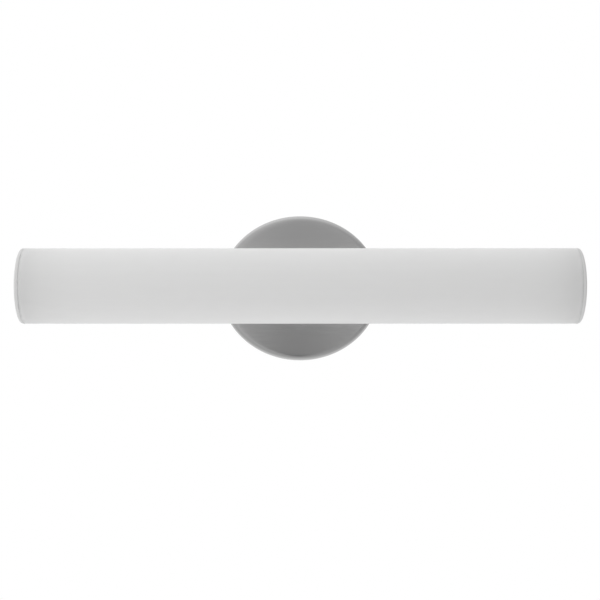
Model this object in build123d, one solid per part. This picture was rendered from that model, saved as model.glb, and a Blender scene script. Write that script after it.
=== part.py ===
from build123d import *
import os
from math import cos, pi, radians, sin, sqrt, tan

# A wall light for over a mirror: an opal tube on one short stem in front of an oval canopy.
# X runs along the tube, Z is up, the wall is the plane Y = 0 and the room is on the -Y side.
# "Out" is the distance from the wall into the room, so out = -Y. All sizes are in millimetres.

# Opal tube and its push-in end caps
LIGHT_LENGTH = 457.0
TUBE_DIAMETER = 62.0
TUBE_WALL = 3.0
CAP_FLANGE = 3.0
CAP_EDGE_RADIUS = 1.5
CAP_PLUG_LENGTH = 12.0
CAP_PLUG_WALL = 3.0
CAP_SLIP = 0.2
SEAM_BREAK = 0.3
RING_SECTION = 1.4
RING_SLIP = 0.05
RING_GROOVE_SLACK = 0.2

# Oval canopy, pressed from sheet, with a turned-in rim on a foam gasket
CANOPY_WIDTH = 137.0
CANOPY_HEIGHT = 124.0
CANOPY_DEPTH = 24.0
CANOPY_SHEET = 1.2
CANOPY_EDGE_RADIUS = 3.0
CANOPY_RIM = 5.0
GASKET_THICKNESS = 1.5
GASKET_INSET = 0.5

# Stem between canopy and tube, and the hollow threaded nipple through it
STANDOFF = 15.6
STEM_DIAMETER = 40.0
SADDLE_PAD = 0.8
NIPPLE_DIAMETER = 10.0
NIPPLE_BORE = 6.4
NIPPLE_PROUD = 2.8
WASHER_THICKNESS = 1.0
WASHER_MARGIN = 2.0
REAR_NUT_FLATS = 14.0
REAR_NUT_HEIGHT = 4.0
BUSHING_WALL = 0.6
BUSHING_FLANGE = 1.2
BUSHING_LENGTH = 6.0
NIPPLE_BEYOND_NUT = 1.0
STEM_SCREW_GAP = 1.1
STEM_SCREW_DIAMETER = 4.0
STEM_SCREW_GRIP = 8.0
STEM_HOLE_SPARE = 1.0

# Aluminium spine in the tube, its T nut and the LED board
SPINE_WEB = 2.0
SPINE_SETBACK = 8.0
SPINE_SLOT_WIDTH = 18.0
SPINE_LEG = 2.0
SPINE_LIP = 4.5
SPINE_MOUTH = 13.0
SPINE_WING = 28.0
SPINE_END_GAP = 1.5
SPINE_SLIP = 0.1
T_NUT_HEIGHT = 5.0
T_NUT_LENGTH = 28.0
T_NUT_SLIP = 0.3
BOARD_EDGE = 0.35
BOARD_THICKNESS = 1.6
BOARD_END_GAP = 6.0
LED_COUNT = 48
LED_LENGTH = 3.5
LED_WIDTH = 2.8
LED_HEIGHT = 0.8
LED_WALL = 0.4
BOARD_SCREW_DIAMETER = 3.0
BOARD_SCREW_LEG_GAP = 0.7
BOARD_SCREW_SPARE = 1.0
CONNECTOR_LENGTH = 9.0
CONNECTOR_WIDTH = 6.0
CONNECTOR_HEIGHT = 3.5
CONNECTOR_X = 14.5
CONNECTOR_LED_GAP = 1.1
POLE_PITCH = 3.0

# Driver and terminal block, both stuck inside the canopy with foam pads
PAD_THICKNESS = 0.8
DRIVER_LENGTH = 66.0
DRIVER_WIDTH = 30.0
DRIVER_PLATE_GAP = 3.5
DRIVER_CANOPY_GAP = 4.0
DRIVER_WALL = 1.6
DRIVER_BOSS = 3.0
DRIVER_FIT = 0.5
TERMINAL_END = 1.5
TERMINAL_WIDTH = 16.0
TERMINAL_DEPTH = 13.0
TERMINAL_CANOPY_GAP = 15.3
TERMINAL_PITCH = 9.0
TERMINAL_RECESS = 0.5
PAD_INSET = 2.0
SLEEVE_DIAMETER = 5.2
SLEEVE_BORE = 3.2
TERMINAL_SCREW_DIAMETER = 3.0

# Earth point on the canopy
EARTH_X = 34.0
EARTH_Z = -28.0
EARTH_STUD_DIAMETER = 4.0
EARTH_STUD_LENGTH = 10.0
EARTH_NUT_FLATS = 7.0
EARTH_NUT_HEIGHT = 3.2
LUG_SHEET = 0.8
LUG_DIAMETER = 8.0
LUG_BARREL = 6.0

# Insulated leads
MAINS_LEAD = 2.2
LED_LEAD = 1.6
LED_LEAD_GAP = 0.6
LED_LEAD_DROP = 6.0
LEAD_TAB_GAP = 4.0
LEAD_PITCH = 5.0
ARC_SHARE = 0.45

# Steel plate on the wall, with slots for the box screws and a forked tab at each side
PLATE_INSET = 12.5
PLATE_HEIGHT = 44.0
PLATE_THICKNESS = 2.0
PLATE_CORNER = 8.0
SLOT_SPACING = 88.9
SLOT_LENGTH = 16.0
SLOT_WIDTH = 4.8
CABLE_HOLE = 26.0
TAB_WIDTH = 16.0
TAB_BEND = 3.0
TAB_NUT_GAP = 2.6
TAB_BEYOND = 4.0
GROUND_SCREW_STAND = 4.0

# Side lock screws with their clinch nuts
LOCK_OUT = 12.0
LOCK_DIAMETER = 4.0
LOCK_TIP_DIAMETER = 3.0
LOCK_TIP_REACH = 1.5
LOCK_HEAD_DIAMETER = 9.0
LOCK_HEAD_HEIGHT = 5.0
LOCK_WASHER = 0.4
LOCK_WASHER_DIAMETER = 7.4
CLINCH_DIAMETER = 8.0
CLINCH_LENGTH = 3.6
KNURLS = 28
KNURL_DEPTH = 0.3

# Radius of a pan head as a share of its screw's diameter
PAN_HEAD_RADIUS = 0.95

# Gaps
THREAD_SLACK = 0.05
HOLE_SLACK = 0.25
FACE_GAP = 0.05

tube_radius = TUBE_DIAMETER / 2
tube_bore = tube_radius - TUBE_WALL
tube_half = LIGHT_LENGTH / 2 - CAP_FLANGE
tube_axis = CANOPY_DEPTH + STANDOFF + tube_radius
tube_back = CANOPY_DEPTH + STANDOFF
canopy_inside = CANOPY_DEPTH - CANOPY_SHEET
nipple_hole = NIPPLE_DIAMETER / 2 + HOLE_SLACK
nipple_rear = canopy_inside - WASHER_THICKNESS - REAR_NUT_HEIGHT - NIPPLE_PROUD
lips_out = tube_axis - tube_bore + SPINE_LIP
t_nut_front = lips_out + T_NUT_HEIGHT
nipple_front = t_nut_front + NIPPLE_BEYOND_NUT
nut_corner = REAR_NUT_FLATS / 2 / cos(pi / 6)
washer_diameter = REAR_NUT_FLATS + WASHER_MARGIN
stem_screw_x = nut_corner + STEM_SCREW_GAP + PAN_HEAD_RADIUS * STEM_SCREW_DIAMETER
board_back = tube_axis - SPINE_SETBACK
board_front = board_back + BOARD_THICKNESS
web_back = board_back - SPINE_WEB
spine_half = tube_half - CAP_PLUG_LENGTH - SPINE_END_GAP
board_half = spine_half - BOARD_END_GAP
board_screw_row = (SPINE_SLOT_WIDTH - BOARD_SCREW_DIAMETER) / 2 - BOARD_SCREW_LEG_GAP
board_width = 2 * (board_screw_row + PAN_HEAD_RADIUS * BOARD_SCREW_DIAMETER + BOARD_EDGE)
connector_z = (LED_WIDTH + CONNECTOR_WIDTH) / 2 + CONNECTOR_LED_GAP
pad_out = canopy_inside - PAD_THICKNESS


def wall_height(x):
    """Height of the canopy's inner wall above the middle, at a distance x to the side."""
    return (CANOPY_HEIGHT / 2 - CANOPY_SHEET) * sqrt(1 - (x / (CANOPY_WIDTH / 2 - CANOPY_SHEET)) ** 2)


driver_half = DRIVER_LENGTH / 2
driver_rear = PLATE_THICKNESS + DRIVER_PLATE_GAP
driver_z = wall_height(driver_half) - DRIVER_CANOPY_GAP - DRIVER_WIDTH / 2
terminal_length = 3 * TERMINAL_PITCH + 2 * TERMINAL_END
terminal_rear = pad_out - TERMINAL_DEPTH
terminal_low = TERMINAL_CANOPY_GAP - wall_height(terminal_length / 2)
terminal_high = terminal_low + TERMINAL_WIDTH
terminal_z = terminal_low + TERMINAL_WIDTH / 2
pole_out = pad_out - TERMINAL_DEPTH / 2
plate_length = CANOPY_WIDTH - 2 * PLATE_INSET
tab_outer = CANOPY_WIDTH / 2 - CANOPY_SHEET - CLINCH_LENGTH - TAB_NUT_GAP
tab_inner = tab_outer - PLATE_THICKNESS
tab_end = LOCK_OUT + TAB_BEYOND
neutral_x = LEAD_TAB_GAP + MAINS_LEAD / 2 - tab_inner
live_x = neutral_x + LEAD_PITCH


def solid_out(sketch, start, stop):
    """Solid of a sketch drawn facing the wall, x along X and y along Z, between two distances out."""
    return extrude(Plane.XZ.offset(start) * sketch, stop - start)


def post(diameter, start, stop, x=0.0, z=0.0):
    """Round bar square to the wall."""
    return solid_out(Pos(x, z) * Circle(diameter / 2), start, stop)


def bar(diameter, start, stop, out, z=0.0):
    """Round bar along X."""
    return extrude(Plane.YZ.offset(start) * Pos(-out, z) * Circle(diameter / 2), stop - start)


def upright(diameter, start, stop, x, out):
    """Round bar along Z."""
    return extrude(Plane.XY.offset(start) * Pos(x, -out) * Circle(diameter / 2), stop - start)


def block(length, height, start, stop, x=0.0, z=0.0):
    """Rectangular block with its faces square to the wall."""
    return solid_out(Pos(x, z) * Rectangle(length, height), start, stop)


def oval(inset):
    """Outline of the canopy, drawn in by an inset."""
    return Ellipse(CANOPY_WIDTH / 2 - inset, CANOPY_HEIGHT / 2 - inset)


def hex_nut(flats, bore, start, stop, x=0.0, z=0.0):
    """Hexagon nut with its corners turned off at both ends."""
    corner = flats / 2 / cos(pi / 6)
    turned = chamfer(post(2 * corner, start, stop, x, z).edges(), corner - flats / 2)
    hexagon = solid_out(Pos(x, z) * RegularPolygon(corner, 6), start, stop)
    return hexagon & turned - post(bore, start, stop, x, z)


def pan_screw(diameter, length):
    """Pan head screw with a cross recess, head up along Z, seat at Z = 0."""
    head_height = 0.6 * diameter
    head = extrude(Circle(PAN_HEAD_RADIUS * diameter), head_height)
    head = fillet(head.faces().sort_by(Axis.Z)[-1].edges(), 0.35 * diameter)
    recess = Rectangle(diameter, 0.24 * diameter) + Rectangle(0.24 * diameter, diameter)
    head -= extrude(Pos(0, 0, head_height) * recess, -0.35 * diameter)
    shank = extrude(Circle(diameter / 2), -length)
    shank = chamfer(shank.faces().sort_by(Axis.Z)[0].edges(), 0.12 * diameter)
    return head + shank


def to_wall(x, out, z):
    """Place on a face that looks at the wall."""
    return Plane(origin=(x, -out, z), x_dir=(1, 0, 0), z_dir=(0, 1, 0))


def to_room(x, out, z):
    """Place on a face that looks into the room."""
    return Plane(origin=(x, -out, z), x_dir=(1, 0, 0), z_dir=(0, -1, 0))


def lead(diameter, points, largest_arc=1000.0):
    """Wire through points (x, out, z), each corner an arc as large as its two runs and the room allow."""
    corners = [Vector(x, -out, z) for x, out, z in points]
    runs = [end - start for start, end in zip(corners, corners[1:])]
    radii = []
    for before, after in zip(runs, runs[1:]):
        half_turn = radians(before.get_angle(after)) / 2
        arc = ARC_SHARE * min(before.length, after.length) / tan(half_turn)
        radii.append(min(arc, largest_arc))
    path = FilletPolyline(*corners, radius=radii)
    wire = sweep(Plane(path @ 0, z_dir=path % 0) * Circle(diameter / 2), path)
    drawn = path.length * pi * diameter**2 / 4
    print("lead radii", [round(r, 1) for r in radii], "volume ratio", round(wire.volume / drawn, 4))
    return wire


nodes = {}

# Opal tube with one hole at the back for the nipple
tube_ring = bar(TUBE_DIAMETER, -tube_half, tube_half, tube_axis)
tube_ring = chamfer(tube_ring.edges().filter_by(GeomType.CIRCLE), SEAM_BREAK)
tube_inside = bar(2 * tube_bore, -tube_half, tube_half, tube_axis)
tube_back_hole = post(2 * nipple_hole, tube_back - 1, tube_axis)
nodes["diffuser_tube"] = tube_ring - tube_inside - tube_back_hole


def end_cap():
    """Cap for the +X end: a flange as wide as the tube and a hollow plug with a groove for a sealing ring."""
    inner = tube_half
    outer = tube_half + CAP_FLANGE
    plug_diameter = 2 * (tube_bore - CAP_SLIP)
    flange = bar(TUBE_DIAMETER, inner, outer, tube_axis)
    flange = fillet(flange.faces().sort_by(Axis.X)[-1].edges(), CAP_EDGE_RADIUS)
    flange = chamfer(flange.faces().sort_by(Axis.X)[0].edges(), SEAM_BREAK)
    plug = bar(plug_diameter, inner - CAP_PLUG_LENGTH, inner, tube_axis)
    plug = chamfer(plug.faces().sort_by(Axis.X)[0].edges(), SEAM_BREAK)
    plug -= bar(plug_diameter - 2 * CAP_PLUG_WALL, inner - CAP_PLUG_LENGTH, inner, tube_axis)
    middle = inner - CAP_PLUG_LENGTH / 2
    half = RING_SECTION / 2 + RING_GROOVE_SLACK
    groove = bar(plug_diameter + 1, middle - half, middle + half, tube_axis)
    groove -= bar(2 * (tube_bore - RING_SLIP - RING_SECTION), middle - half, middle + half, tube_axis)
    return flange + plug - groove


def sealing_ring():
    """Rubber ring in the groove of the +X cap."""
    middle = tube_half - CAP_PLUG_LENGTH / 2
    centre_radius = tube_bore - RING_SLIP - RING_SECTION / 2
    return Plane((middle, -tube_axis, 0), z_dir=(1, 0, 0)) * Torus(centre_radius, RING_SECTION / 2)


nodes["end_cap_right"] = end_cap()
nodes["end_cap_left"] = mirror(end_cap(), Plane.YZ)
nodes["sealing_ring_right"] = sealing_ring()
nodes["sealing_ring_left"] = mirror(sealing_ring(), Plane.YZ)

# Canopy: a shallow oval pan, open to the wall. A flat face plate is welded flush into a band, which makes the
# rounded edge, the wall and the rim turned in behind
pan = solid_out(oval(0), GASKET_THICKNESS, CANOPY_DEPTH)
pan = fillet(pan.faces().sort_by(Axis.Y)[0].edges(), CANOPY_EDGE_RADIUS)
pan_inside = solid_out(oval(CANOPY_SHEET), GASKET_THICKNESS + CANOPY_SHEET, canopy_inside)
pan_inside = fillet(pan_inside.faces().sort_by(Axis.Y)[0].edges(), CANOPY_EDGE_RADIUS - CANOPY_SHEET)
face_outline = oval(CANOPY_EDGE_RADIUS + CANOPY_SHEET)
canopy_face = solid_out(face_outline, canopy_inside, CANOPY_DEPTH)
canopy_face -= post(2 * nipple_hole, canopy_inside, CANOPY_DEPTH)
for side in (-1, 1):
    hole_diameter = STEM_SCREW_DIAMETER + 2 * HOLE_SLACK
    canopy_face -= post(hole_diameter, canopy_inside, CANOPY_DEPTH, side * stem_screw_x)
nodes["canopy_face"] = canopy_face
canopy_band = pan - pan_inside - solid_out(oval(CANOPY_RIM), 0, canopy_inside / 2)
canopy_band -= solid_out(face_outline, canopy_inside / 2, CANOPY_DEPTH)
canopy_band -= bar(LOCK_DIAMETER + 2 * HOLE_SLACK, -CANOPY_WIDTH, CANOPY_WIDTH, LOCK_OUT)
nodes["canopy_band"] = canopy_band
nodes["canopy_gasket"] = solid_out(oval(GASKET_INSET) - oval(CANOPY_RIM), 0, GASKET_THICKNESS)

# Stem, cut to the curve of the tube with a thin soft pad between them
stem_end = tube_axis - SADDLE_PAD
stem = post(STEM_DIAMETER, CANOPY_DEPTH, stem_end)
stem -= bar(TUBE_DIAMETER + 2 * SADDLE_PAD, -STEM_DIAMETER, STEM_DIAMETER, tube_axis)
stem -= post(2 * nipple_hole, CANOPY_DEPTH, stem_end)
saddle = post(STEM_DIAMETER, CANOPY_DEPTH, stem_end)
saddle &= bar(TUBE_DIAMETER + 2 * SADDLE_PAD, -STEM_DIAMETER, STEM_DIAMETER, tube_axis)
saddle -= bar(TUBE_DIAMETER, -STEM_DIAMETER, STEM_DIAMETER, tube_axis)
nodes["saddle_pad"] = saddle - post(2 * nipple_hole, CANOPY_DEPTH, stem_end)
stem_screws = []
for side in (-1, 1):
    x = side * stem_screw_x
    hole_end = CANOPY_DEPTH + STEM_SCREW_GRIP + STEM_HOLE_SPARE
    stem -= post(STEM_SCREW_DIAMETER + 2 * THREAD_SLACK, CANOPY_DEPTH, hole_end, x)
    screw = pan_screw(STEM_SCREW_DIAMETER, CANOPY_SHEET + STEM_SCREW_GRIP)
    stem_screws.append(to_wall(x, canopy_inside, 0) * screw)
nodes["stem"] = stem
nodes["stem_screws"] = Compound(stem_screws)

# Hollow nipple from inside the canopy to the T nut in the spine
nipple = post(NIPPLE_DIAMETER, nipple_rear, nipple_front)
nipple = chamfer(nipple.edges().filter_by(GeomType.CIRCLE), SEAM_BREAK)
nodes["nipple"] = nipple - post(NIPPLE_BORE, nipple_rear, nipple_front)
washer_rear = canopy_inside - WASHER_THICKNESS
washer = post(washer_diameter, washer_rear, canopy_inside)
nodes["lock_washer"] = washer - post(2 * nipple_hole, washer_rear, canopy_inside)
nut_bore = NIPPLE_DIAMETER + 2 * THREAD_SLACK
nodes["rear_nut"] = hex_nut(REAR_NUT_FLATS, nut_bore, washer_rear - REAR_NUT_HEIGHT, washer_rear)
bushing = post(NIPPLE_DIAMETER, nipple_rear - BUSHING_FLANGE, nipple_rear)
bushing += post(NIPPLE_BORE - 2 * THREAD_SLACK, nipple_rear, nipple_rear + BUSHING_LENGTH)
bushing_bore = NIPPLE_BORE - 2 * THREAD_SLACK - 2 * BUSHING_WALL
nodes["wire_bushing"] = bushing - post(
    bushing_bore, nipple_rear - BUSHING_FLANGE, nipple_rear + BUSHING_LENGTH
)

# Spine: an extruded channel whose legs stand on the back of the bore, with wings that carry the board
lip_depth = tube_axis - lips_out
leg_half = SPINE_SLOT_WIDTH / 2 + SPINE_LEG
channel = Pos(SPINE_SETBACK + tube_bore / 2, 0) * Rectangle(tube_bore, 2 * leg_half)
channel += Pos(SPINE_SETBACK + SPINE_WEB / 2, 0) * Rectangle(SPINE_WEB, SPINE_WING)
channel &= Circle(tube_bore - SPINE_SLIP)
floor = SPINE_SETBACK + SPINE_WEB
channel -= Pos((floor + lip_depth) / 2, 0) * Rectangle(lip_depth - floor, SPINE_SLOT_WIDTH)
channel -= Pos(lip_depth + SPINE_LIP, 0) * Rectangle(3 * SPINE_LIP, SPINE_MOUTH)
spine = extrude(Plane.YZ.offset(-spine_half) * Pos(-tube_axis, 0) * channel, 2 * spine_half)
t_nut = block(T_NUT_LENGTH, SPINE_SLOT_WIDTH - 2 * T_NUT_SLIP, lips_out, t_nut_front)
nodes["t_nut"] = t_nut - post(nut_bore, lips_out, t_nut_front)

# LED board, its screws, its row of LEDs and the connector for the two LED leads
board = block(2 * board_half, board_width, board_back, board_front)
screw_places = []
for share, row in ((-0.95, 1), (-0.48, -1), (0.0, -1), (0.48, -1), (0.95, 1)):
    screw_places.append((share * board_half, row * board_screw_row))
board_screws = []
for x, z in screw_places:
    board -= post(BOARD_SCREW_DIAMETER + 2 * HOLE_SLACK, board_back, board_front, x, z)
    spine -= post(BOARD_SCREW_DIAMETER + 2 * THREAD_SLACK, web_back, board_back, x, z)
    screw = pan_screw(BOARD_SCREW_DIAMETER, BOARD_THICKNESS + SPINE_WEB + BOARD_SCREW_SPARE)
    board_screws.append(to_room(x, board_front, z) * screw)
for pole in (-0.5, 0.5):
    lead_hole = LED_LEAD + 2 * HOLE_SLACK
    pole_z = connector_z + pole * POLE_PITCH
    board -= post(lead_hole, board_back, board_front, CONNECTOR_X, pole_z)
    spine -= post(lead_hole, web_back, board_back, CONNECTOR_X, pole_z)
nodes["spine"] = spine
nodes["led_board"] = board
nodes["board_screws"] = Compound(board_screws)
connector_front = board_front + CONNECTOR_HEIGHT
connector = block(CONNECTOR_LENGTH, CONNECTOR_WIDTH, board_front, connector_front, CONNECTOR_X, connector_z)
nodes["board_connector"] = chamfer(connector.faces().sort_by(Axis.Y)[0].edges(), SEAM_BREAK)
led_pitch = 2 * (board_half - LED_LENGTH) / LED_COUNT
led_front = board_front + LED_HEIGHT
housings = []
phosphors = []
for index in range(LED_COUNT):
    x = (index - (LED_COUNT - 1) / 2) * led_pitch
    pocket = block(LED_LENGTH - 2 * LED_WALL, LED_WIDTH - 2 * LED_WALL, led_front - LED_WALL, led_front, x)
    housings.append(block(LED_LENGTH, LED_WIDTH, board_front, led_front, x) - pocket)
    phosphors.append(pocket)
nodes["led_housings"] = Compound(housings)
nodes["led_phosphors"] = Compound(phosphors)

# Driver: a plastic case on a foam pad, open to the wall and closed by a cover, with a loaded board inside
case_edge = driver_rear + DRIVER_WALL
case_outline = Pos(0, driver_z) * RectangleRounded(DRIVER_LENGTH, DRIVER_WIDTH, DRIVER_WALL)
inside_length = DRIVER_LENGTH - 2 * DRIVER_WALL
inside_width = DRIVER_WIDTH - 2 * DRIVER_WALL
case_floor = pad_out - DRIVER_WALL
driver_board_front = case_floor - DRIVER_BOSS
driver_board_rear = driver_board_front - BOARD_THICKNESS
case = solid_out(case_outline, case_edge, pad_out)
case -= block(inside_length, inside_width, case_edge, case_floor, 0, driver_z)
lead_rows = (driver_z - DRIVER_WIDTH / 7, driver_z + DRIVER_WIDTH / 7)
driver_lead_out = (case_edge + driver_board_rear) / 2
for z in lead_rows:
    case -= bar(MAINS_LEAD + 2 * HOLE_SLACK, -driver_half, 0, driver_lead_out, z)
    case -= bar(LED_LEAD + 2 * HOLE_SLACK, 0, driver_half, driver_lead_out, z)
for corner_x in (-1, 1):
    for corner_z in (-1, 1):
        boss_x = corner_x * (inside_length / 2 - DRIVER_BOSS)
        boss_z = driver_z + corner_z * (inside_width / 2 - DRIVER_BOSS)
        case += post(2 * DRIVER_BOSS, driver_board_front, case_floor, boss_x, boss_z)
nodes["driver_case"] = case
loose_length = inside_length - 2 * DRIVER_FIT
loose_width = inside_width - 2 * DRIVER_FIT
rib_end = case_edge + DRIVER_WALL
rib_length = loose_length - 2 * DRIVER_WALL
rib_width = loose_width - 2 * DRIVER_WALL
cover_rib = block(loose_length, loose_width, case_edge, rib_end, 0, driver_z)
cover_rib -= block(rib_length, rib_width, case_edge, rib_end, 0, driver_z)
nodes["driver_cover"] = solid_out(case_outline, driver_rear, case_edge) + cover_rib
pad_length = DRIVER_LENGTH - 2 * PAD_INSET
nodes["driver_pad"] = block(pad_length, DRIVER_WIDTH - 2 * PAD_INSET, pad_out, canopy_inside, 0, driver_z)
nodes["driver_board"] = block(loose_length, loose_width, driver_board_rear, driver_board_front, 0, driver_z)
part_height = (driver_board_rear - rib_end) * 0.8
part_rear = driver_board_rear - part_height
core = inside_width / 2
transformer = block(core, core, part_rear, driver_board_rear, core / 2, driver_z)
nodes["driver_transformer"] = chamfer(transformer.edges().filter_by(Axis.Y), core / 12)
capacitors = []
for index in (-1, 1):
    can_z = driver_z + index * core / 2
    capacitors.append(post(core * 0.7, part_rear, driver_board_rear, -core / 2, can_z))
nodes["driver_capacitors"] = Compound(capacitors)

# Terminal block on a foam pad: brass sleeves that run up through it, clamped by screws from the wall side
housing = block(terminal_length, TERMINAL_WIDTH, terminal_rear, pad_out, 0, terminal_z)
pole_places = (-TERMINAL_PITCH, 0.0, TERMINAL_PITCH)
groove_end = terminal_rear + TERMINAL_DEPTH / 4
for x in (-TERMINAL_PITCH / 2, TERMINAL_PITCH / 2):
    housing -= block(2 * TERMINAL_RECESS, TERMINAL_WIDTH, terminal_rear, groove_end, x, terminal_z)
clamp_tip = pole_out - MAINS_LEAD / 2 - FACE_GAP
sleeves = []
terminal_screws = []
for x in pole_places:
    housing -= upright(SLEEVE_DIAMETER + 2 * THREAD_SLACK, terminal_low, terminal_high, x, pole_out)
    sleeve = upright(SLEEVE_DIAMETER, terminal_low + 1, terminal_high - 1, x, pole_out)
    sleeve -= upright(SLEEVE_BORE, terminal_low, terminal_high, x, pole_out)
    for row in (-1, 1):
        z = terminal_z + row * TERMINAL_WIDTH / 4
        housing -= post(TERMINAL_SCREW_DIAMETER + 2 * HOLE_SLACK, terminal_rear, pole_out, x, z)
        sleeve -= post(TERMINAL_SCREW_DIAMETER + 2 * THREAD_SLACK, terminal_rear, pole_out, x, z)
        screw = post(TERMINAL_SCREW_DIAMETER, terminal_rear + TERMINAL_RECESS, clamp_tip, x, z)
        slot_end = terminal_rear + TERMINAL_RECESS + TERMINAL_SCREW_DIAMETER / 4
        slot = block(TERMINAL_SCREW_DIAMETER, TERMINAL_SCREW_DIAMETER / 5, terminal_rear, slot_end, x, z)
        terminal_screws.append(screw - slot)
    sleeves.append(sleeve)
nodes["terminal_block"] = housing
nodes["terminal_sleeves"] = Compound(sleeves)
nodes["terminal_screws"] = Compound(terminal_screws)
pad_length = terminal_length - 2 * PAD_INSET
pad_width = TERMINAL_WIDTH - 2 * PAD_INSET
nodes["terminal_pad"] = block(pad_length, pad_width, pad_out, canopy_inside, 0, terminal_z)

# Earth point: stud on the canopy, ring lug under a nut
stud = post(EARTH_STUD_DIAMETER, canopy_inside - EARTH_STUD_LENGTH, canopy_inside, EARTH_X, EARTH_Z)
nodes["earth_stud"] = chamfer(stud.faces().sort_by(Axis.Y)[-1].edges(), SEAM_BREAK)
lug_rear = canopy_inside - LUG_SHEET
barrel_diameter = MAINS_LEAD + 2 * THREAD_SLACK + 2 * LUG_SHEET
barrel_out = canopy_inside - barrel_diameter / 2
barrel_top = EARTH_Z - LUG_DIAMETER / 2 - LUG_SHEET
barrel_low = barrel_top - LUG_BARREL
lug = post(LUG_DIAMETER, lug_rear, canopy_inside, EARTH_X, EARTH_Z)
neck_z = EARTH_Z - LUG_DIAMETER / 2
lug += block(barrel_diameter, LUG_DIAMETER, lug_rear, canopy_inside, EARTH_X, neck_z)
lug -= post(EARTH_STUD_DIAMETER + 2 * THREAD_SLACK, lug_rear, canopy_inside, EARTH_X, EARTH_Z)
lug += upright(barrel_diameter, barrel_low, barrel_top, EARTH_X, barrel_out)
lug -= upright(MAINS_LEAD + 2 * THREAD_SLACK, barrel_low - 2, barrel_top, EARTH_X, barrel_out)
nodes["earth_lug"] = lug
earth_bore = EARTH_STUD_DIAMETER + 2 * THREAD_SLACK
nut_rear = lug_rear - EARTH_NUT_HEIGHT
nodes["earth_nut"] = hex_nut(EARTH_NUT_FLATS, earth_bore, nut_rear, lug_rear, EARTH_X, EARTH_Z)

# Leads in the canopy: earth to its pole, live and neutral from the driver round the left side to theirs
entry_low = terminal_low - 8
entry_end = terminal_low + TERMINAL_WIDTH * 0.45
nodes["earth_lead"] = lead(MAINS_LEAD, [
    (EARTH_X, barrel_out, barrel_top - 1),
    (EARTH_X, barrel_out, barrel_low - 5),
    (EARTH_X - 9, pole_out, entry_low - 1),
    (TERMINAL_PITCH, pole_out, entry_low - 1),
    (TERMINAL_PITCH, pole_out, entry_end),
])
nodes["live_lead"] = lead(MAINS_LEAD, [
    (2 * DRIVER_WALL - driver_half, driver_lead_out, lead_rows[0]),
    (live_x + LEAD_PITCH, driver_lead_out, lead_rows[0]),
    (live_x, driver_lead_out, 0),
    (live_x + 1.6 * LEAD_PITCH, driver_lead_out, terminal_z + 6),
    (-TERMINAL_PITCH - 11, pole_out, entry_low + 1),
    (-TERMINAL_PITCH, pole_out, entry_low + 1),
    (-TERMINAL_PITCH, pole_out, entry_end),
])
nodes["neutral_lead"] = lead(MAINS_LEAD, [
    (2 * DRIVER_WALL - driver_half, driver_lead_out, lead_rows[1]),
    (neutral_x + 1.2 * LEAD_PITCH, driver_lead_out, lead_rows[1]),
    (neutral_x, driver_lead_out, 0),
    (neutral_x + 2 * LEAD_PITCH, driver_lead_out, terminal_z + 2),
    (-TERMINAL_PITCH - 11, pole_out, entry_low - 3),
    (0, pole_out, entry_low - 3),
    (0, pole_out, entry_end),
])


def led_lead(side, driver_z, reach, low):
    """LED lead from the driver's right end, in through the nipple and up through the board to its pole."""
    turn_out = nipple_rear - BUSHING_FLANGE - LED_LEAD_DROP
    tray_out = (nipple_front + web_back) / 2
    bore_z = side * (LED_LEAD + LED_LEAD_GAP) / 2
    pole_z = connector_z + side * POLE_PITCH / 2
    points = [
        (driver_half - 2 * DRIVER_WALL, driver_lead_out, driver_z),
        (driver_half + reach, driver_lead_out, driver_z),
        (driver_half + reach, driver_lead_out - 1, low),
        (driver_half - 2, turn_out, low - 7),
        (0, turn_out, bore_z),
        (0, tray_out, bore_z),
        (CONNECTOR_X, tray_out, pole_z),
        (CONNECTOR_X, board_front, pole_z),
    ]
    return lead(LED_LEAD, points, 0.9 * LED_LEAD_DROP)


nodes["led_lead_positive"] = led_lead(1, lead_rows[0], 10.0, 12.0)
nodes["led_lead_negative"] = led_lead(-1, lead_rows[1], 15.0, 8.0)

# Plate on the wall, and a bent tab at each of its ends, forked for the tip of a lock screw
plate_outline = RectangleRounded(plate_length, PLATE_HEIGHT, PLATE_CORNER)
plate = solid_out(plate_outline, 0, PLATE_THICKNESS)
plate -= post(CABLE_HOLE, 0, PLATE_THICKNESS)
strip = Pos(0, -tab_end / 2) * Rectangle(2 * tab_outer, tab_end)
strip = fillet(strip.vertices().sort_by(Axis.Y)[-2:], TAB_BEND)
hollow_top = Pos(0, -PLATE_THICKNESS - tab_end / 2) * Rectangle(2 * tab_inner, tab_end)
hollow_top = fillet(hollow_top.vertices().sort_by(Axis.Y)[-2:], TAB_BEND - PLATE_THICKNESS)
strip -= hollow_top
strip -= Rectangle(plate_length, PLATE_THICKNESS * 3)
side_tabs = extrude(Plane.XY.offset(-TAB_WIDTH / 2) * strip, TAB_WIDTH)
fork_width = LOCK_TIP_DIAMETER + 4 * HOLE_SLACK
side_tabs -= bar(fork_width, -CANOPY_WIDTH, CANOPY_WIDTH, LOCK_OUT)
side_tabs -= block(2 * CANOPY_WIDTH, fork_width, LOCK_OUT, tab_end)
nodes["side_tabs"] = side_tabs
for side in (-1, 1):
    slot = Pos(side * SLOT_SPACING / 2, 0) * SlotOverall(SLOT_LENGTH, SLOT_WIDTH)
    plate -= solid_out(slot, 0, PLATE_THICKNESS)
ground_x = -(CABLE_HOLE + SLOT_SPACING - SLOT_LENGTH) / 4
plate -= post(LOCK_DIAMETER + 2 * THREAD_SLACK, 0, PLATE_THICKNESS, ground_x)
nodes["mounting_plate"] = plate
ground_screw = pan_screw(LOCK_DIAMETER, GROUND_SCREW_STAND + PLATE_THICKNESS - FACE_GAP)
nodes["ground_screw"] = to_room(ground_x, PLATE_THICKNESS + GROUND_SCREW_STAND, 0) * ground_screw


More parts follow.
